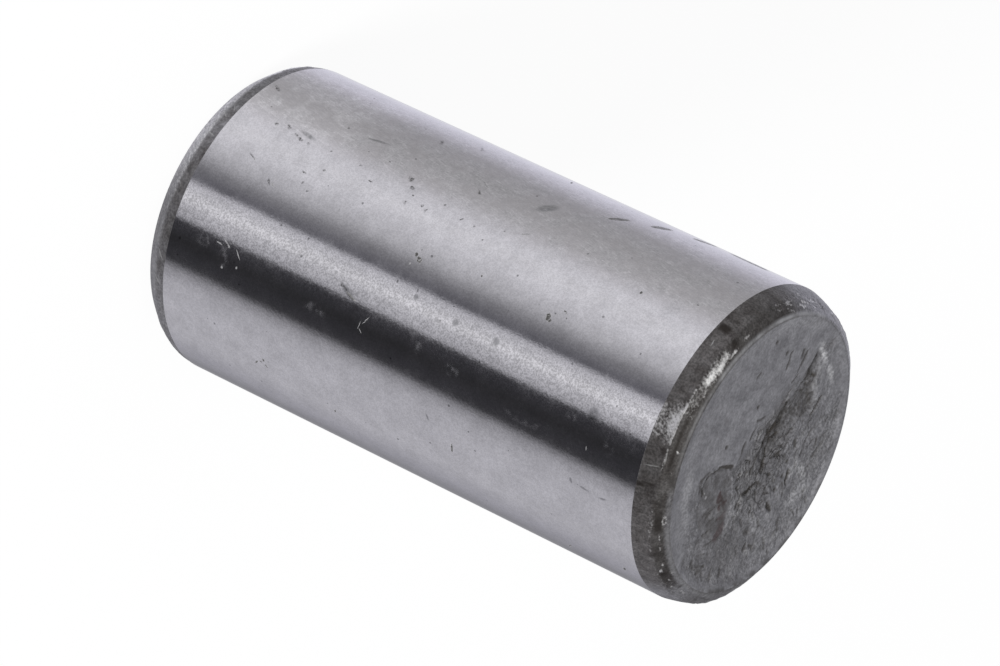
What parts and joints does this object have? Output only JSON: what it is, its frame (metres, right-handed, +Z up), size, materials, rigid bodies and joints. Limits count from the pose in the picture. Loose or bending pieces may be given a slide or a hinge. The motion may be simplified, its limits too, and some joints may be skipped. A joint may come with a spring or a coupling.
{
  "type": "locking pin",
  "caption": "Short plain steel locking pin with a ground cylindrical shank, tapered leads and bevelled cropped ends; slides into a reamed hole to locate or lock two parts.",
  "frame": {"origin": "centre of the lower end face, on which the pin stands", "axes": "+Z up along the pin's axis, towards the end that carries the shear scar; the viewer of the picture is on the -Y side"},
  "size_m": [0.012, 0.012, 0.0237],
  "materials": {
    "ground_steel": "bright fine ground shank; the cropped ends keep dark grey scale, worn bright on their edges"
  },
  "bodies": {
    "root": {"locking_pin": "ground_steel"}
  },
  "joints": []
}
